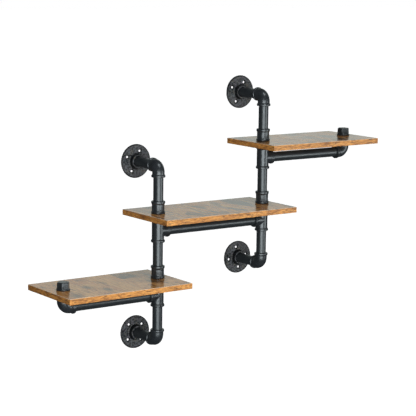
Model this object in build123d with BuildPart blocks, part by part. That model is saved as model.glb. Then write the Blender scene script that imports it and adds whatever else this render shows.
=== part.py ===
"""Three-board wall shelf hung on two columns of threaded iron pipe and malleable fittings.

The frame: +X runs along the wall to the right, +Y points into the wall and +Z is up.
The wall is the plane Y = 0, and the whole shelf stands in front of it, at negative Y.
The origin is the centre of the left column's upper flange, on the wall.

Each column hangs from two wall flanges and holds two boards. At a column a board is clamped
between the coupling above it and the tee below it. The upper and lower boards also reach out
past their column along a rail, and are clamped there between a cap and an elbow.
"""

from build123d import *
import os

# ---- driving dimensions, millimetres ----

# Pipe, nominal 3/4 inch
PIPE_OD = 28.2
PIPE_ID = 22.6
THREAD_PITCH = 1.814        # 14 threads to the inch
THREAD_DEPTH = 0.9
THREAD_TURNS = 6            # grooves cut at each end
PIPE_LEAD = 0.8             # lead chamfer at each end
PIPE_ENGAGED = 13.5         # length of pipe inside a fitting
PIPE_BARE = 66.0            # bare length of a riser between two fittings
STANDOFF_BARE = 69.0        # and of a standoff between a flange and an elbow

# Malleable fittings: what they share
SOCKET_CLEARANCE = 0.05     # radial
SOCKET_DEPTH = 14.0
SOCKET_LEAD = 0.9           # lead chamfer at a socket's mouth
PASSAGE_R = 12.0            # open way through the middle of a fitting
FITTING_R = 17.3            # outside of a fitting's body
BAND_R = 19.6               # outside of the reinforcing band round each socket
BAND_WIDTH = 6.0
BAND_SLOPE = 2.0            # run of the slope from the band down to the body
SLOPE_OVERLAP = 0.5         # how far that slope runs on into the body
BAND_ROUND = 1.4
CENTRE_TO_END = 32.0        # elbow or tee, from the crossing of its axes to an end face

# Elbow and tee
ELBOW_BEND_R = 19.0         # bend of the elbow's centreline
BRANCH_R = 16.6             # outside of the tee's branch
BRANCH_FILLET = 3.0         # where the branch leaves the tee's run

# Coupling
COUPLING_LENGTH = 36.0
COUPLING_R = 17.7           # outside of its body
COUPLING_BAND = 6.6
COUPLING_RIBS = 4
RIB_WIDTH = 6.0
RIB_HEIGHT = 0.8
RIB_ROUND = 0.5

# Wall flange
FLANGE_R = 48.3
FLANGE_THICKNESS = 4.4
FLANGE_HEIGHT = 17.0        # wall to the hub's end face
RIM_ROUND = 1.3
HUB_BASE_R = 20.6
HUB_END_R = 20.2
HUB_FILLET = 3.2            # where the hub rises from the disc
HUB_ROUND = 1.8             # at the hub's end
SCREW_CIRCLE_R = 31.0
SCREW_HOLE_R = 3.0
SCREW_HEAD_R = 6.0          # mouth of the countersink
SCREW_COUNT = 4

# Cap
CAP_HEIGHT = 23.0
CAP_BAND_R = 18.8
CAP_BAND_WIDTH = 4.6
CAP_BAND_ROUND = 1.0
CAP_ACROSS_FLATS = 32.4
CAP_TAPER = 2.5             # degrees
CAP_CROWN = 2.2             # rounding of the closed end

# Boards
BOARD_DEPTH = 225.0
BOARD_THICKNESS = 16.0
BOARD_OVERHANG = 43.0       # board end beyond the nearest pipe axis
BOARD_WALL_GAP = 1.5
BOARD_HOLE_R = 14.8
EDGE_STRIP = 1.2            # thickness of the edging strips
EDGE_STRIP_ROUND = 0.8
EDGE_STRIP_GAP = 0.1        # butt gap where two strips meet at a corner

# Layout
COLUMN_SPACING = 362.0
ARM_REACH = 303.0           # from a column's axis to the pipe at the board's free end

# How far each screwed fitting was turned home, in degrees
FLANGE_CLOCKING = {
    "left_top": 65.0,
    "left_bottom": 41.0,
    "right_top": 64.0,
    "right_bottom": 9.0,
}
CAP_CLOCKING = {"lower": 50.0, "upper": 39.0}

# ---- dimensions that follow ----

PIPE_R = PIPE_OD / 2
SOCKET_R = PIPE_R + SOCKET_CLEARANCE
RISER = PIPE_BARE + 2 * PIPE_ENGAGED
STANDOFF = STANDOFF_BARE + 2 * PIPE_ENGAGED
BOARD_PIPE = BOARD_THICKNESS + 2 * PIPE_ENGAGED

COLUMN_Y = -(FLANGE_HEIGHT + STANDOFF_BARE + CENTRE_TO_END)
FLANGE_ABOVE_BOARD = COUPLING_LENGTH + PIPE_BARE + CENTRE_TO_END
FLANGE_BELOW_BOARD = BOARD_THICKNESS + 3 * CENTRE_TO_END + PIPE_BARE
TIER_PITCH = BOARD_THICKNESS + 2 * CENTRE_TO_END + PIPE_BARE + COUPLING_LENGTH

LEFT_X = 0.0
RIGHT_X = COLUMN_SPACING
LOWER_STUB_X = LEFT_X - ARM_REACH
UPPER_STUB_X = RIGHT_X + ARM_REACH

# Top faces of the three boards
MIDDLE_TOP = -FLANGE_ABOVE_BOARD
UPPER_TOP = MIDDLE_TOP + TIER_PITCH
LOWER_TOP = MIDDLE_TOP - TIER_PITCH

UP = (0, 0, 1)
DOWN = (0, 0, -1)
RIGHT = (1, 0, 0)
LEFT = (-1, 0, 0)
TO_WALL = (0, 1, 0)
FROM_WALL = (0, -1, 0)

os.makedirs("parts", exist_ok=True)


# ---- helpers ----

def end_plane(centre, direction, distance=0.0):
    """The plane square to a direction, at a distance along it from the centre."""
    return Plane(origin=Vector(*centre) + Vector(*direction) * distance, z_dir=direction)


def section_plane(base):
    """The plane through the base's axis: x is the radius, y the distance along the axis."""
    return Plane(origin=base.origin, x_dir=base.x_dir, z_dir=-base.y_dir)


def axis_of(base):
    return Axis(base.origin, base.z_dir)


def rail_height(board_top):
    """Height of the tee's branch, and of the rail in it, under a board."""
    return board_top - BOARD_THICKNESS - CENTRE_TO_END


def save(part, name):
    part.label = name
    export_step(part, f"parts/{name}.step")


def add_band(centre, direction):
    """The reinforcing band round the socket that faces a direction, with its slope to the body."""
    base = end_plane(centre, direction, CENTRE_TO_END)
    with BuildSketch(section_plane(base)) as profile:
        with BuildLine():
            FilletPolyline(
                (PASSAGE_R, 0),
                (BAND_R, 0),
                (BAND_R, -BAND_WIDTH),
                (BRANCH_R - SLOPE_OVERLAP, -BAND_WIDTH - BAND_SLOPE),
                (PASSAGE_R, -BAND_WIDTH - BAND_SLOPE),
                radius=[BAND_ROUND, BAND_ROUND, 0, 0, 0],
                close=True,
            )
        make_face()
    revolve(profile.sketch, axis=axis_of(base))


def cut_socket(base):
    """A pipe socket cut in from an end face, with a lead chamfer at its mouth."""
    with BuildSketch(section_plane(base)) as profile:
        with BuildLine():
            Polyline(
                (0, 0),
                (SOCKET_R + SOCKET_LEAD, 0),
                (SOCKET_R, -SOCKET_LEAD),
                (SOCKET_R, -SOCKET_DEPTH),
                (0, -SOCKET_DEPTH),
                close=True,
            )
        make_face()
    revolve(profile.sketch, axis=axis_of(base), mode=Mode.SUBTRACT)


# ---- pieces ----

def make_pipe(name, start, direction, length):
    """A pipe from its start along a direction, with a thread cut at each end."""
    base = end_plane(start, direction)
    near_end = [(PIPE_R - PIPE_LEAD, 0), (PIPE_R, PIPE_LEAD)]
    for turn in range(THREAD_TURNS):
        crest = PIPE_LEAD + turn * THREAD_PITCH
        near_end.append((PIPE_R - THREAD_DEPTH, crest + THREAD_PITCH / 2))
        near_end.append((PIPE_R, crest + THREAD_PITCH))
    far_end = [(radius, length - along) for radius, along in reversed(near_end)]
    bore = PIPE_ID / 2
    with BuildPart() as pipe:
        with BuildSketch(section_plane(base)):
            with BuildLine():
                Polyline((bore, 0), *near_end, *far_end, (bore, length), close=True)
            make_face()
        revolve(axis=axis_of(base))
    save(pipe.part, name)


def make_flange(name, centre, clocking):
    """A wall flange, its flat back on the wall, with four countersunk screw holes."""
    base = Plane(origin=centre, x_dir=RIGHT, z_dir=FROM_WALL)
    shoulder = FLANGE_HEIGHT - SOCKET_DEPTH
    with BuildPart() as flange:
        with BuildSketch(section_plane(base)):
            with BuildLine():
                FilletPolyline(
                    (PASSAGE_R, 0),
                    (FLANGE_R, 0),
                    (FLANGE_R, FLANGE_THICKNESS),
                    (HUB_BASE_R, FLANGE_THICKNESS),
                    (HUB_END_R, FLANGE_HEIGHT),
                    (SOCKET_R + SOCKET_LEAD, FLANGE_HEIGHT),
                    (SOCKET_R, FLANGE_HEIGHT - SOCKET_LEAD),
                    (SOCKET_R, shoulder),
                    (PASSAGE_R, shoulder),
                    radius=[0, 0, RIM_ROUND, HUB_FILLET, HUB_ROUND, 0, 0, 0, 0],
                    close=True,
                )
            make_face()
        revolve(axis=axis_of(base))
        with Locations(base.offset(FLANGE_THICKNESS)):
            with PolarLocations(SCREW_CIRCLE_R, SCREW_COUNT, start_angle=clocking):
                CounterSinkHole(SCREW_HOLE_R, SCREW_HEAD_R, depth=FLANGE_THICKNESS)
    save(flange.part, name)


def make_elbow(name, centre, first, second):
    """A right-angle elbow whose two sockets face the first and the second direction."""
    bend = Plane(origin=centre, x_dir=first, z_dir=Vector(*first).cross(Vector(*second)))
    mouths = [end_plane(centre, direction, CENTRE_TO_END) for direction in (first, second)]
    with BuildPart() as elbow:
        with BuildLine(bend) as route:
            FilletPolyline((CENTRE_TO_END, 0), (0, 0), (0, CENTRE_TO_END), radius=ELBOW_BEND_R)
        with BuildSketch(mouths[0]):
            Circle(FITTING_R)
        sweep(path=route.line)
        add_band(centre, first)
        add_band(centre, second)
        with BuildSketch(mouths[0]):
            Circle(PASSAGE_R)
        sweep(path=route.line, mode=Mode.SUBTRACT)
        for mouth in mouths:
            cut_socket(mouth)
    save(elbow.part, name)


def make_tee(name, centre, branch):
    """A tee with an upright run and one branch."""
    branch_mouth = end_plane(centre, branch, CENTRE_TO_END)
    with BuildPart() as tee:
        with BuildSketch(end_plane(centre, DOWN, CENTRE_TO_END)):
            Circle(FITTING_R)
        extrude(amount=-2 * CENTRE_TO_END)
        with BuildSketch(branch_mouth):
            Circle(BRANCH_R)
        extrude(amount=-CENTRE_TO_END)
        fillet(tee.edges().filter_by(GeomType.BSPLINE), BRANCH_FILLET)
        for direction in (UP, DOWN, branch):
            add_band(centre, direction)
        with BuildSketch(end_plane(centre, DOWN, CENTRE_TO_END)):
            Circle(PASSAGE_R)
        extrude(amount=-2 * CENTRE_TO_END, mode=Mode.SUBTRACT)
        with BuildSketch(branch_mouth):
            Circle(PASSAGE_R)
        extrude(amount=-CENTRE_TO_END, mode=Mode.SUBTRACT)
        for direction in (UP, DOWN, branch):
            cut_socket(end_plane(centre, direction, CENTRE_TO_END))
    save(tee.part, name)


def make_coupling(name, foot):
    """A coupling that stands on a board, with a band at each end and ribs between them."""
    base = end_plane(foot, UP)
    top = COUPLING_LENGTH
    far_band = top - COUPLING_BAND
    with BuildPart() as coupling:
        with BuildSketch(section_plane(base)):
            with BuildLine():
                FilletPolyline(
                    (PASSAGE_R, 0),
                    (BAND_R, 0),
                    (BAND_R, COUPLING_BAND),
                    (COUPLING_R, COUPLING_BAND + BAND_SLOPE),
                    (COUPLING_R, far_band - BAND_SLOPE),
                    (BAND_R, far_band),
                    (BAND_R, top),
                    (PASSAGE_R, top),
                    radius=[0, *[BAND_ROUND] * 6, 0],
                    close=True,
                )
            make_face()
        revolve(axis=axis_of(base))
        with BuildSketch(base.offset(COUPLING_BAND)):
            with PolarLocations(COUPLING_R, COUPLING_RIBS):
                RectangleRounded(2 * RIB_HEIGHT, RIB_WIDTH, RIB_ROUND)
        extrude(amount=top - 2 * COUPLING_BAND)
        cut_socket(base.rotated((180, 0, 0)))
        cut_socket(base.offset(top))
    save(coupling.part, name)


def make_cap(name, foot, clocking):
    """A closed cap that stands on a board: a round band, then a tapering hexagon."""
    base = end_plane(foot, UP)
    with BuildPart() as cap:
        with BuildSketch(base):
            RegularPolygon(CAP_ACROSS_FLATS / 2, 6, major_radius=False, rotation=clocking)
        extrude(amount=CAP_HEIGHT, taper=CAP_TAPER)
        fillet(cap.faces().sort_by(Axis.Z)[-1].edges(), CAP_CROWN)
        with BuildSketch(section_plane(base)):
            with BuildLine():
                FilletPolyline(
                    (0, 0),
                    (CAP_BAND_R, 0),
                    (CAP_BAND_R, CAP_BAND_WIDTH),
                    (0, CAP_BAND_WIDTH),
                    radius=[0, CAP_BAND_ROUND, CAP_BAND_ROUND, 0],
                    close=True,
                )
            make_face()
        revolve(axis=axis_of(base))
        cut_socket(base.rotated((180, 0, 0)))
    save(cap.part, name)


def make_board(name, first_x, last_x, top):
    """A board with a hole at each pipe, and the four edging strips glued round it."""
    left = min(first_x, last_x) - BOARD_OVERHANG
    right = max(first_x, last_x) + BOARD_OVERHANG
    back = -BOARD_WALL_GAP
    front = back - BOARD_DEPTH
    middle = ((left + right) / 2, (back + front) / 2)
    length = right - left
    underside = Plane.XY.offset(top - BOARD_THICKNESS)
    with BuildPart() as board:
        with BuildSketch(underside):
            with Locations(middle):
                Rectangle(length - 2 * EDGE_STRIP, BOARD_DEPTH - 2 * EDGE_STRIP)
            with Locations((first_x, COLUMN_Y), (last_x, COLUMN_Y)):
                Circle(BOARD_HOLE_R, mode=Mode.SUBTRACT)
        extrude(amount=BOARD_THICKNESS)
    save(board.part, f"{name}_board")
    end_length = BOARD_DEPTH - 2 * EDGE_STRIP - 2 * EDGE_STRIP_GAP
    with BuildPart() as strips:
        with BuildSketch(underside):
            with Locations((middle[0], front + EDGE_STRIP / 2), (middle[0], back - EDGE_STRIP / 2)):
                Rectangle(length, EDGE_STRIP)
            with Locations((left + EDGE_STRIP / 2, middle[1]), (right - EDGE_STRIP / 2, middle[1])):
                Rectangle(EDGE_STRIP, end_length)
        extrude(amount=BOARD_THICKNESS)
        along_x = strips.edges().filter_by(Axis.X).group_by(Axis.Y)
        along_y = strips.edges().filter_by(Axis.Y).group_by(Axis.X)
        fillet(along_x[0] + along_x[-1] + along_y[0] + along_y[-1], EDGE_STRIP_ROUND)
    save(strips.part, f"{name}_board_edge_strips")


# ---- assembly ----

def make_column(side, x, branches):
    """Everything on one upright line of pipe.

    branches gives the tiers from the top down: each tier's name, its board's top face, and the
    direction in which the tee under that board branches.
    """
    top_board = branches[0][1]
    bottom_board = branches[-1][1]
    for end, height, towards in (
        ("top", top_board + FLANGE_ABOVE_BOARD, DOWN),
        ("bottom", bottom_board - FLANGE_BELOW_BOARD, UP),
    ):
        make_flange(f"{side}_{end}_flange", (x, 0, height), FLANGE_CLOCKING[f"{side}_{end}"])
        make_pipe(
            f"{side}_{end}_standoff_pipe",
            (x, PIPE_ENGAGED - FLANGE_HEIGHT, height),
            FROM_WALL,
            STANDOFF,
        )
        make_elbow(f"{side}_{end}_elbow", (x, COLUMN_Y, height), TO_WALL, towards)
    for tier, board_top, branch in branches:
        coupling_top = board_top + COUPLING_LENGTH
        riser_start = (x, COLUMN_Y, coupling_top - PIPE_ENGAGED)
        through_start = (x, COLUMN_Y, board_top - BOARD_THICKNESS - PIPE_ENGAGED)
        make_pipe(f"{side}_{tier}_riser", riser_start, UP, RISER)
        make_coupling(f"{side}_{tier}_coupling", (x, COLUMN_Y, board_top))
        make_pipe(f"{side}_{tier}_board_pipe", through_start, UP, BOARD_PIPE)
        make_tee(f"{side}_{tier}_tee", (x, COLUMN_Y, rail_height(board_top)), branch)
    bottom_riser_start = bottom_board - FLANGE_BELOW_BOARD + CENTRE_TO_END - PIPE_ENGAGED
    make_pipe(f"{side}_bottom_riser", (x, COLUMN_Y, bottom_riser_start), UP, RISER)


def make_rail(name, from_x, to_x, board_top):
    """The level pipe between two fittings whose axes stand at from_x and to_x."""
    start = from_x + CENTRE_TO_END - PIPE_ENGAGED
    end = to_x - CENTRE_TO_END + PIPE_ENGAGED
    make_pipe(name, (start, COLUMN_Y, rail_height(board_top)), RIGHT, end - start)


def make_free_end(tier, x, board_top, back_to_column):
    """What clamps a board at its free end: an elbow, a pipe through the board, and a cap."""
    through_start = (x, COLUMN_Y, board_top - BOARD_THICKNESS - PIPE_ENGAGED)
    make_elbow(f"{tier}_rail_elbow", (x, COLUMN_Y, rail_height(board_top)), back_to_column, UP)
    make_pipe(f"{tier}_rail_board_pipe", through_start, UP, BOARD_PIPE)
    make_cap(f"{tier}_cap", (x, COLUMN_Y, board_top), CAP_CLOCKING[tier])


make_column("left", LEFT_X, [("middle", MIDDLE_TOP, RIGHT), ("lower", LOWER_TOP, LEFT)])
make_column("right", RIGHT_X, [("upper", UPPER_TOP, RIGHT), ("middle", MIDDLE_TOP, LEFT)])

make_rail("upper_rail", RIGHT_X, UPPER_STUB_X, UPPER_TOP)
make_rail("middle_rail", LEFT_X, RIGHT_X, MIDDLE_TOP)
make_rail("lower_rail", LOWER_STUB_X, LEFT_X, LOWER_TOP)

make_free_end("upper", UPPER_STUB_X, UPPER_TOP, LEFT)
make_free_end("lower", LOWER_STUB_X, LOWER_TOP, RIGHT)

make_board("upper", RIGHT_X, UPPER_STUB_X, UPPER_TOP)
make_board("middle", LEFT_X, RIGHT_X, MIDDLE_TOP)
make_board("lower", LOWER_STUB_X, LEFT_X, LOWER_TOP)
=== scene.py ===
"""Looks for a three-board wall shelf on iron pipe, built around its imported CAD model.

Everything is in metres in the CAD's own frame: the wall is the plane Y = 0, the shelf stands in
front of it at negative Y, +X runs to the right and +Z is up.
"""

import math

import bpy
from mathutils import Matrix, Vector, noise


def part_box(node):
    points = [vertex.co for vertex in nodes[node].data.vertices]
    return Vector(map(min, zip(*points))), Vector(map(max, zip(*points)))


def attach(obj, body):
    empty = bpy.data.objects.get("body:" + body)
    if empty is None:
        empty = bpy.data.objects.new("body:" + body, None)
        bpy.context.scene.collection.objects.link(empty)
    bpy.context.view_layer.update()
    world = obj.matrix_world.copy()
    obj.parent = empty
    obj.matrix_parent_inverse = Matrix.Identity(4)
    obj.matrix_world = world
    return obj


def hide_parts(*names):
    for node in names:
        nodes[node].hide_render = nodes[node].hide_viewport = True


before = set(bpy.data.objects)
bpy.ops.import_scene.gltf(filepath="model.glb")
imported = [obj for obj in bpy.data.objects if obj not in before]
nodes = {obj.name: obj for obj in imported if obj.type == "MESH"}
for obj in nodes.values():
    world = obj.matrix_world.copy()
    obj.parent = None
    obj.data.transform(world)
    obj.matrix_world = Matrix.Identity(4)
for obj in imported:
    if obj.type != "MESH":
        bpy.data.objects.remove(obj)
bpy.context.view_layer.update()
scene = bpy.context.scene

MM = 0.001

# ---- camera ----

CAMERA_TARGET = Vector((0.1697, -0.118, -0.1323))
CAMERA_AZIMUTH = -35.52         # degrees; 0 looks along +Y
CAMERA_ELEVATION = 9.17
CAMERA_ROLL = 0.74
CAMERA_DISTANCE = 4.2685
CAMERA_LENS = 130.2             # mm, on a 36 mm sensor

# ---- studio ----

FLOOR_DROP = 1.1                # from the lowest flange down to the floor
FLOOR_SIDE = 60.0
FLOOR_COLOUR = (0.93, 0.93, 0.93, 1)
FLOOR_GLOW = 0.75               # keeps the pale floor as light as the paper sweep it stands for
SKY = (1.0, 1.0, 1.0, 1)        # what the camera sees past the floor
BAND_AZIMUTH = 144.0            # the low bright band lies behind the wall, to the right
SKY_BAND = (0.63, 0.69, 0.66, 1)        # that band's light, faintly green
SKY_FILL = (0.070, 0.076, 0.083, 1)     # the dim light of the rest of the sky
LAMP_DISTANCE = 3.0             # from the camera's target to each soft box

# ---- castings ----

CAST_VOXEL = 0.8 * MM           # grain of the remeshed castings
CAST_SMOOTHING = 2              # passes that take the voxels' steps away
CAST_RELIEF = 0.20 * MM         # height of the sand-cast unevenness
CAST_RELIEF_SIZE = 3.2 * MM
SEAM_HEIGHT = 0.22 * MM         # parting line left by the two mould halves
SEAM_WIDTH = 0.8 * MM
FLANGE_RELIEF = 0.55 * MM       # depth of the dimples on a flange's face
FLANGE_RELIEF_SIZE = 4.8 * MM
HUB_FOOT = 24.5 * MM            # the hub and its foot inside this radius stay smooth
RIM_FALL = 0.5 * MM             # how far the disc's face falls away at its rim
RIM_FALL_WIDTH = 3.0 * MM
RIM_DARK_WIDTH = 5.0 * MM       # the paint lies thick over the rim, and painted shade darkens it, this far in

# ---- wood print ----

KNOT_SPACING = 95.0             # mm, between the cells that may hold a knot
KNOT_RING_RATE = 130.0          # rings of a knot, as a rate over its cell
SLATE_FADE = 0.13               # of the noise, from where slate starts to where it is full
ARRIS_WEAR_AND_SHEEN = 0.9 * MM           # how far the rubbed line, worn foil with a painted highlight, reaches down from the upper arris

# Each board has its own stretch of the print: the print's shift (mm), the noise value where slate
# starts, how far its palest parts go to tan, and the share of cells that hold a knot.
BOARD_PRINTS = {
    "upper": ((137.0, 59.0, 0.0), 0.49, 0.28, 0.15),
    "middle": ((274.0, 118.0, 0.0), 0.50, 0.30, 0.20),
    "lower": ((386.0, 177.0, 0.0), 0.57, 0.85, 0.42),
}

# ---- colours, linear ----

PIPE_BLACK = (0.009, 0.0115, 0.013, 1)
PIPE_GREY = (0.014, 0.017, 0.019, 1)
PAINT_GLOSS = (0.86, 0.96, 1.0, 1)      # the paint's faintly blue shine
CAST_BLACK = (0.009, 0.011, 0.0125, 1)
CAST_GREY = (0.016, 0.0185, 0.021, 1)
# painted shade for the castings' creases
PAINTED_CREASE_SHADE = (0.002, 0.002, 0.002, 1)
FLANGE_DARK = (0.003, 0.004, 0.005, 1)
FLANGE_MAUVE = (0.048, 0.045, 0.053, 1)
FLANGE_GREY = (0.040, 0.050, 0.056, 1)
FLANGE_BROWN = (0.056, 0.053, 0.044, 1)
# bare iron on worn edges, also a painted highlight on them
BARE_IRON_AND_SHEEN = (0.075, 0.078, 0.082, 1)
WOOD_DARK = (0.060, 0.026, 0.011, 1)
WOOD_BROWN = (0.240, 0.074, 0.014, 1)
WOOD_ORANGE = (0.470, 0.158, 0.026, 1)
WOOD_TAN = (0.670, 0.368, 0.128, 1)
SLATE = (0.058, 0.034, 0.018, 1)
EDGE_DARK = (0.050, 0.022, 0.009, 1)
EDGE_BROWN = (0.190, 0.070, 0.016, 1)
EDGE_HONEY = (0.390, 0.164, 0.034, 1)
EDGE_PALE = (0.560, 0.275, 0.068, 1)
# worn foil on the upper arris, also a painted highlight there
EDGE_WORN_AND_SHEEN = (0.560, 0.490, 0.400, 1)


def direction(azimuth, elevation):
    """Unit vector from the object towards a viewer or lamp at this azimuth and elevation."""
    a, e = math.radians(azimuth), math.radians(elevation)
    return Vector((math.sin(a) * math.cos(e), -math.cos(a) * math.cos(e), math.sin(e)))


def aimed(place, target, roll=0.0):
    """A matrix at a place whose -Z axis points at the target."""
    turn = (target - place).to_track_quat("-Z", "Y").to_matrix().to_4x4()
    return Matrix.Translation(place) @ turn @ Matrix.Rotation(math.radians(roll), 4, "Z")


# ---- shader helpers ----

def add_node(tree, kind, inputs=None, **settings):
    """Adds a shader node; an input is either a value or another node's socket."""
    node = tree.nodes.new("ShaderNode" + kind)
    for name, value in settings.items():
        setattr(node, name, value)
    for name, value in (inputs or {}).items():
        if isinstance(value, bpy.types.NodeSocket):
            tree.links.new(value, node.inputs[name])
        else:
            node.inputs[name].default_value = value
    return node


def new_material(name, roughness, **inputs):
    """A principled material; returns it with its node tree and its shader."""
    material = bpy.data.materials.new(name)
    material.use_nodes = True
    tree = material.node_tree
    bsdf = tree.nodes["Principled BSDF"]
    bsdf.inputs["Roughness"].default_value = roughness
    for socket, value in inputs.items():
        bsdf.inputs[socket.replace("_", " ")].default_value = value
    return material, tree, bsdf


def place_in_mm(tree, stretch=(1, 1, 1), shift=(0, 0, 0)):
    """The point's place on the object in millimetres, stretched and shifted."""
    coordinates = add_node(tree, "TexCoord").outputs["Object"]
    scale = tuple(1000 * value for value in stretch)
    mapping = add_node(tree, "Mapping", {"Vector": coordinates, "Scale": scale, "Location": shift})
    return mapping.outputs["Vector"]


def noise_of(tree, vector, size, detail=3.0, roughness=0.5, distortion=0.0):
    """Noise from 0 to 1 whose features are about this size, in the vector's own units."""
    inputs = {
        "Vector": vector,
        "Scale": 1.0 / size,
        "Detail": detail,
        "Roughness": roughness,
        "Distortion": distortion,
    }
    return add_node(tree, "TexNoise", inputs).outputs["Fac"]


def ramp(tree, value, stops):
    """A colour ramp; stops is a list of (position, colour or grey)."""
    node = add_node(tree, "ValToRGB", {"Fac": value})
    elements = node.color_ramp.elements
    while len(elements) < len(stops):
        elements.new(0.5)
    for element, (position, colour) in zip(elements, stops):
        element.position = position
        element.color = colour if isinstance(colour, tuple) else (colour, colour, colour, 1)
    return node.outputs["Color"]


def mix(tree, factor, first, second, blend="MIX"):
    """Mixes two colours or vectors; each input is either a value or another node's socket."""
    node = tree.nodes.new("ShaderNodeMix")
    node.data_type = "RGBA"
    node.blend_type = blend
    for index, value in ((0, factor), (6, first), (7, second)):
        if isinstance(value, bpy.types.NodeSocket):
            tree.links.new(value, node.inputs[index])
        else:
            node.inputs[index].default_value = value
    return node.outputs[2]


def add_bump(tree, bsdf, height, distance):
    """Makes the shader's surface rise and fall by this distance with the height."""
    bump = add_node(tree, "Bump", {"Height": height, "Distance": distance, "Strength": 1.0})
    tree.links.new(bump.outputs["Normal"], bsdf.inputs["Normal"])


# ---- materials ----

def pipe_material():
    """Black semi-gloss paint on drawn steel pipe."""
    material, tree, bsdf = new_material("pipe_black", 0.34, IOR=1.6, Specular_Tint=PAINT_GLOSS)
    place = place_in_mm(tree)
    peel = noise_of(tree, place, 1.2, detail=2)
    cloud = noise_of(tree, place, 25, detail=4)
    shade = ramp(tree, cloud, [(0.3, PIPE_BLACK), (0.7, PIPE_GREY)])
    tree.links.new(shade, bsdf.inputs["Base Color"])
    tree.links.new(ramp(tree, cloud, [(0.3, 0.30), (0.75, 0.38)]), bsdf.inputs["Roughness"])
    add_bump(tree, bsdf, peel, 0.04 * MM)
    return material


def cast_material():
    """The same paint on sand-cast iron: a little rougher, and thinner where edges stand out; those
    edges also carry a painted highlight, and the creases painted shade.
    """
    material, tree, bsdf = new_material("cast_black", 0.38, IOR=1.6, Specular_Tint=PAINT_GLOSS)
    place = place_in_mm(tree)
    grit = noise_of(tree, place, 0.8, detail=3, roughness=0.6)
    cloud = noise_of(tree, place, 14, detail=5)
    curve = add_node(tree, "NewGeometry").outputs["Pointiness"]
    # the standing edges go pale: worn paint, and a painted highlight
    worn_and_sheen = ramp(tree, curve, [(0.53, 0.0), (0.62, 0.4)])
    # painted shade: the creases are darkened and made rougher
    crease_shade = ramp(tree, curve, [(0.43, 1.0), (0.485, 0.0)])
    shade = ramp(tree, cloud, [(0.3, CAST_BLACK), (0.7, CAST_GREY)])
    shade = mix(tree, crease_shade, mix(tree, worn_and_sheen, shade, BARE_IRON_AND_SHEEN), PAINTED_CREASE_SHADE)
    tree.links.new(shade, bsdf.inputs["Base Color"])
    gloss = ramp(tree, grit, [(0.3, 0.22), (0.7, 0.36)])
    tree.links.new(mix(tree, crease_shade, gloss, (0.8, 0.8, 0.8, 1)), bsdf.inputs["Roughness"])
    add_bump(tree, bsdf, grit, 0.06 * MM)
    return material


def flange_material():
    """Coarser iron: the paint lies thick in the dimples and thin on the high spots between; the rim
    and every face turned from the room are darkened, thick paint with painted shade, and the standing
    edges go pale, worn paint with a painted highlight.
    """
    material, tree, bsdf = new_material("flange_cast", 0.5, IOR=1.42)
    place = place_in_mm(tree)
    grit = noise_of(tree, place, 1.6, detail=4, roughness=0.65)
    cloud = noise_of(tree, place, 9, detail=3)
    # this tone holds the high spots, and painted shade at the rim and on faces turned from the room
    high = add_node(tree, "Attribute", attribute_name="relief_and_shade").outputs["Fac"]
    curve = add_node(tree, "NewGeometry").outputs["Pointiness"]
    mottle = mix(tree, 0.3, high, grit)
    tint = ramp(tree, cloud, [(0.38, FLANGE_MAUVE), (0.52, FLANGE_GREY), (0.66, FLANGE_BROWN)])
    # the standing edges go pale: worn paint, and a painted highlight
    worn_and_sheen = ramp(tree, curve, [(0.55, 0.0), (0.62, 0.5)])
    shade = mix(tree, ramp(tree, mottle, [(0.38, 0.0), (0.58, 1.0)]), FLANGE_DARK, tint)
    shade = mix(tree, worn_and_sheen, shade, BARE_IRON_AND_SHEEN)
    tree.links.new(shade, bsdf.inputs["Base Color"])
    tree.links.new(ramp(tree, mottle, [(0.3, 0.42), (0.7, 0.55)]), bsdf.inputs["Roughness"])
    add_bump(tree, bsdf, grit, 0.20 * MM)
    return material


def board_material(name, shift, slate_from, warmth, knot_share):
    """Rustic wood print under a smooth semi-gloss seal; the grain runs from front to back."""
    material, tree, bsdf = new_material(name, 0.17)
    fine_place = place_in_mm(tree, (1, 0.07, 1), shift)
    figure_place = place_in_mm(tree, (1, 0.18, 1), shift)
    patch_place = place_in_mm(tree, (1, 0.30, 1), shift)
    fibre = noise_of(tree, fine_place, 1.1, detail=3, roughness=0.6)
    lines = noise_of(tree, fine_place, 3.4, detail=5, roughness=0.65, distortion=0.4)
    figure = noise_of(tree, figure_place, 15, detail=5, roughness=0.6, distortion=1.4)
    tone = noise_of(tree, patch_place, 52, detail=2, distortion=0.6)
    slate = noise_of(tree, patch_place, 36, detail=3, roughness=0.5, distortion=0.8)
    knots = knot_rings(tree, place_in_mm(tree, (1, 0.6, 1), shift), knot_share)
    bands = [(0.30, WOOD_BROWN), (0.46, WOOD_ORANGE), (0.58, WOOD_TAN), (0.70, WOOD_BROWN)]
    slate_stops = [(slate_from, 0.0), (slate_from + SLATE_FADE, 0.95)]
    pale = ramp(tree, tone, [(0.40, 0.15), (0.58, warmth)])
    colour = mix(tree, pale, ramp(tree, figure, bands), WOOD_TAN)
    colour = mix(tree, ramp(tree, lines, [(0.49, 0.0), (0.66, 0.8)]), colour, WOOD_DARK)
    colour = mix(tree, 0.5, colour, ramp(tree, fibre, [(0.30, 0.55), (0.54, 1.0)]), "MULTIPLY")
    colour = mix(tree, ramp(tree, slate, slate_stops), colour, SLATE)
    colour = mix(tree, knots, colour, SLATE)
    tree.links.new(colour, bsdf.inputs["Base Color"])
    tree.links.new(ramp(tree, tone, [(0.3, 0.14), (0.7, 0.21)]), bsdf.inputs["Roughness"])
    add_bump(tree, bsdf, fibre, 0.04 * MM)
    return material


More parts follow.
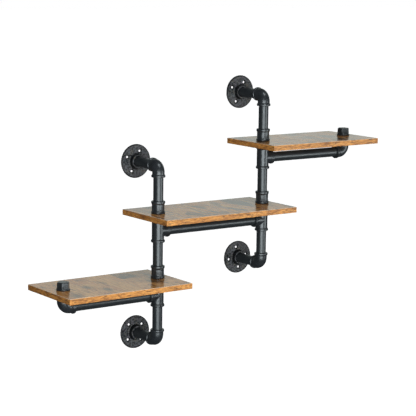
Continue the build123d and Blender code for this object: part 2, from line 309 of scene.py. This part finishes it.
def knot_rings(tree, place, share):
    """0 to 1: small knots, each a dark heart with rings round it, in this share of the cells."""
    seeds = {"Vector": place, "Scale": 1 / KNOT_SPACING, "Randomness": 1.0}
    cells = add_node(tree, "TexVoronoi", seeds, voronoi_dimensions="2D")
    distance = cells.outputs["Distance"]
    pick = add_node(tree, "SeparateXYZ", {"Vector": cells.outputs["Color"]}).outputs["X"]
    chosen = ramp(tree, pick, [(1 - share, 0.0), (1.01 - share, 1.0)])
    rings = add_node(tree, "Math", {0: distance, 1: KNOT_RING_RATE}, operation="MULTIPLY")
    wave = add_node(tree, "Math", {0: rings.outputs[0]}, operation="SINE").outputs[0]
    heart = ramp(tree, distance, [(0.08, 0.95), (0.12, 0.5), (0.24, 0.0)])
    ring_shade = ramp(tree, wave, [(0.3, 0.75), (0.8, 1.0)])
    ringed = mix(tree, 1.0, heart, ring_shade, "MULTIPLY")
    return mix(tree, 1.0, ringed, chosen, "MULTIPLY")


def along_strip(tree, on_end, stretch, shift):
    """The place in millimetres, stretched along X on a board's long sides and along Y on its ends."""
    on_long_side = place_in_mm(tree, (stretch, 1, 1), shift)
    return mix(tree, on_end, on_long_side, place_in_mm(tree, (1, stretch, 1), shift))


def edge_material(name, shift, top):
    """Wood-print edging, its grain along each strip, rubbed pale along its upper arris, which is also
    a painted highlight.
    """
    material, tree, bsdf = new_material(name, 0.46, IOR=1.43)
    geometry = add_node(tree, "NewGeometry")
    facing = add_node(tree, "SeparateXYZ", {"Vector": geometry.outputs["True Normal"]})
    across = add_node(tree, "Math", {0: facing.outputs["X"]}, operation="ABSOLUTE").outputs[0]
    on_end = add_node(tree, "Math", {0: across, 1: 0.5}, operation="GREATER_THAN").outputs[0]
    fine_place = along_strip(tree, on_end, 0.10, shift)
    patch_place = along_strip(tree, on_end, 0.28, shift)
    streak = noise_of(tree, fine_place, 2.2, detail=4, roughness=0.6, distortion=0.6)
    dash = noise_of(tree, fine_place, 1.5, detail=3, roughness=0.7, distortion=0.3)
    tone = noise_of(tree, patch_place, 13, detail=3, distortion=0.6)
    knot = noise_of(tree, patch_place, 5.5, detail=3, distortion=0.8)
    colour = ramp(tree, streak, [(0.30, EDGE_BROWN), (0.44, EDGE_HONEY), (0.68, EDGE_PALE)])
    colour = mix(tree, ramp(tree, tone, [(0.50, 0.0), (0.66, 0.75)]), colour, EDGE_BROWN)
    colour = mix(tree, ramp(tree, dash, [(0.53, 0.0), (0.60, 0.95)]), colour, EDGE_DARK)
    colour = mix(tree, ramp(tree, knot, [(0.62, 0.0), (0.70, 0.85)]), colour, EDGE_DARK)
    height = add_node(tree, "SeparateXYZ", {"Vector": geometry.outputs["Position"]}).outputs["Z"]
    below = {"Value": height, "From Min": top - ARRIS_WEAR_AND_SHEEN, "From Max": top}
    # pale line under the upper arris: worn foil and a painted highlight
    rub_and_sheen = ramp(tree, add_node(tree, "MapRange", below).outputs["Result"], [(0.0, 0.0), (0.6, 0.8)])
    colour = mix(tree, rub_and_sheen, colour, EDGE_WORN_AND_SHEEN)
    tree.links.new(colour, bsdf.inputs["Base Color"])
    tree.links.new(ramp(tree, streak, [(0.3, 0.51), (0.7, 0.42)]), bsdf.inputs["Roughness"])
    add_bump(tree, bsdf, dash, 0.08 * MM)
    return material


# ---- studio ----

def add_camera():
    camera = bpy.data.objects.new("camera", bpy.data.cameras.new("camera"))
    camera.data.lens = CAMERA_LENS
    camera.data.sensor_width = 36.0
    place = CAMERA_TARGET + direction(CAMERA_AZIMUTH, CAMERA_ELEVATION) * CAMERA_DISTANCE
    camera.matrix_world = aimed(place, CAMERA_TARGET, CAMERA_ROLL)
    scene.collection.objects.link(camera)
    scene.camera = camera


def add_soft_box(name, azimuth, elevation, width, height, power, mirrored=True):
    """A large soft lamp; one that isn't mirrored lights the object but has no reflection in it."""
    lamp = bpy.data.objects.new(name, bpy.data.lights.new(name, "AREA"))
    lamp.data.shape = "RECTANGLE"
    lamp.data.size = width
    lamp.data.size_y = height
    lamp.data.energy = power
    place = CAMERA_TARGET + direction(azimuth, elevation) * LAMP_DISTANCE
    lamp.matrix_world = aimed(place, CAMERA_TARGET)
    lamp.visible_glossy = mirrored
    scene.collection.objects.link(lamp)


def add_sun(name, azimuth, elevation, strength, angle):
    lamp = bpy.data.objects.new(name, bpy.data.lights.new(name, "SUN"))
    lamp.data.energy = strength
    lamp.data.angle = math.radians(angle)
    lamp.matrix_world = aimed(direction(azimuth, elevation), Vector((0, 0, 0)))
    scene.collection.objects.link(lamp)


def add_floor():
    """A pale floor; reflections and bounced light leave it out."""
    z = min(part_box(name)[0].z for name in nodes) - FLOOR_DROP
    side = FLOOR_SIDE
    corners = [(-side, -side, z), (side, -side, z), (side, side, z), (-side, side, z)]
    mesh = bpy.data.meshes.new("floor")
    mesh.from_pydata(corners, [], [(0, 1, 2, 3)])
    floor = bpy.data.objects.new("floor", mesh)
    scene.collection.objects.link(floor)
    glow = {"Emission_Color": FLOOR_COLOUR, "Emission_Strength": FLOOR_GLOW}
    mesh.materials.append(new_material("floor", 0.95, Base_Color=FLOOR_COLOUR, **glow)[0])
    floor.visible_glossy = False
    floor.visible_diffuse = False


def add_world():
    """White to the camera; as light, dim except for a bright low band behind the wall."""
    world = bpy.data.worlds.new("world")
    scene.world = world
    world.use_nodes = True
    tree = world.node_tree
    background = tree.nodes["Background"]
    ray = add_node(tree, "TexCoord").outputs["Generated"]
    height = add_node(tree, "SeparateXYZ", {"Vector": ray}).outputs["Z"]
    towards = {0: ray, 1: direction(BAND_AZIMUTH, 0)}
    along = add_node(tree, "VectorMath", towards, operation="DOT_PRODUCT").outputs["Value"]
    low = ramp(tree, height, [(0.0, 0.0), (0.03, 1.0), (0.34, 1.0), (0.6, 0.25)])
    behind = ramp(tree, along, [(0.35, 0.0), (0.8, 1.0)])
    band = mix(tree, 1.0, low, behind, "MULTIPLY")
    light = mix(tree, band, SKY_FILL, SKY_BAND)
    seen = add_node(tree, "LightPath").outputs["Is Camera Ray"]
    tree.links.new(mix(tree, seen, light, SKY), background.inputs["Color"])


add_camera()
add_floor()
add_world()
add_soft_box("key", azimuth=-26, elevation=-7, width=2.9, height=1.5, power=91)
add_soft_box("fill", azimuth=-26, elevation=12, width=2.9, height=2.6, power=70, mirrored=False)
add_soft_box("side", azimuth=40, elevation=-5, width=1.6, height=0.8, power=23)
add_sun("top", azimuth=10, elevation=62, strength=0.9, angle=20)
scene.view_settings.view_transform = "Standard"

# ---- castings ----

def centre_of(node):
    low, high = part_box(node)
    return (low + high) / 2


def seam_plane(node):
    """A point and the normal of the plane where the two mould halves met."""
    across_x = node.endswith(("top_elbow", "bottom_elbow"))
    return centre_of(node), Vector((1, 0, 0)) if across_x else Vector((0, 1, 0))


def unevenness(point, size):
    """Smooth lumps from -1 to 1, about this size, with smaller ones on them."""
    return 0.7 * noise.noise(point / size) + 0.3 * noise.noise(point / (0.45 * size))


def fitting_height(node):
    """A function for the skin of a fitting, with sand-cast lumps and the parting line.

    At a point with a normal it gives how far the surface stands out, and a tone from 0 to 1.
    """
    middle, square = seam_plane(node)
    has_seam = not node.endswith("cap")

    def height(point, normal):
        lumps = unevenness(point, CAST_RELIEF_SIZE)
        off = (point - middle).dot(square) / SEAM_WIDTH
        ridge = math.exp(-off * off / 2) * (1 - abs(normal.dot(square))) if has_seam else 0.0
        return CAST_RELIEF * lumps + SEAM_HEIGHT * ridge, 0.5 + 0.5 * lumps

    return height


def flange_height(node):
    """The same for a flange: its disc is dimpled where it faces the room; back and hub are smooth."""
    middle = centre_of(node)
    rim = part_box(node)[1].x - middle.x

    def height(point, normal):
        lumps = unevenness(point, FLANGE_RELIEF_SIZE)
        sunk = min(max(0.5 - 0.9 * lumps, 0.0), 1.0)
        off_axis = math.hypot(point.x - middle.x, point.z - middle.z)
        on_disc = min(max((off_axis - HUB_FOOT) / MM, 0.0), 1.0)
        facing = min(max(-normal.y, 0.0), 1.0)
        inward = min(max((rim - off_axis) / RIM_DARK_WIDTH, 0.0), 1.0)
        fall = max(1 - (rim - off_axis) / RIM_FALL_WIDTH, 0.0) ** 1.5
        depth = FLANGE_RELIEF * sunk * on_disc + RIM_FALL * fall
        # the tone darkens towards the rim and on faces turned from the room: thick paint there, and
        # painted shade
        return -facing * depth, (1 - sunk) * inward * facing**4

    return height


def cast(node, material, height):
    """Replaces a CAD fitting by a casting of the same shape with soft edges and an uneven skin."""
    piece = bpy.data.objects.new(f"{node}_casting", nodes[node].data.copy())
    scene.collection.objects.link(piece)
    remesh = piece.modifiers.new("remesh", "REMESH")
    remesh.mode = "VOXEL"
    remesh.voxel_size = CAST_VOXEL
    smooth = piece.modifiers.new("smooth", "SMOOTH")
    smooth.iterations = CAST_SMOOTHING
    depsgraph = bpy.context.evaluated_depsgraph_get()
    mesh = bpy.data.meshes.new_from_object(piece.evaluated_get(depsgraph))
    piece.modifiers.clear()
    piece.data = mesh
    relief_and_shade = mesh.attributes.new("relief_and_shade", "FLOAT", "POINT")
    normals = [vertex.normal.copy() for vertex in mesh.vertices]
    for vertex, normal in zip(mesh.vertices, normals):
        out, tone = height(vertex.co, normal)
        relief_and_shade.data[vertex.index].value = tone
        vertex.co += normal * out
    mesh.shade_smooth()
    mesh.materials.clear()
    mesh.materials.append(material)
    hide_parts(node)
    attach(piece, "root")


def dress(node, material):
    """Gives a CAD node this material and no other."""
    nodes[node].data.materials.clear()
    nodes[node].data.materials.append(material)


PIPE = pipe_material()
CAST = cast_material()
FLANGE = flange_material()

for name in nodes:
    if name.endswith("flange"):
        cast(name, FLANGE, flange_height(name))
    elif name.endswith(("elbow", "tee", "coupling", "cap")):
        cast(name, CAST, fitting_height(name))
    elif not name.endswith(("_board", "_strips")):
        dress(name, PIPE)
for tier, (shift, slate_from, warmth, knot_share) in BOARD_PRINTS.items():
    wood = board_material(f"{tier}_board_wood", shift, slate_from, warmth, knot_share)
    dress(f"{tier}_board", wood)
    strips = f"{tier}_board_edge_strips"
    dress(strips, edge_material(f"{tier}_edge_wood", shift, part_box(strips)[1].z))
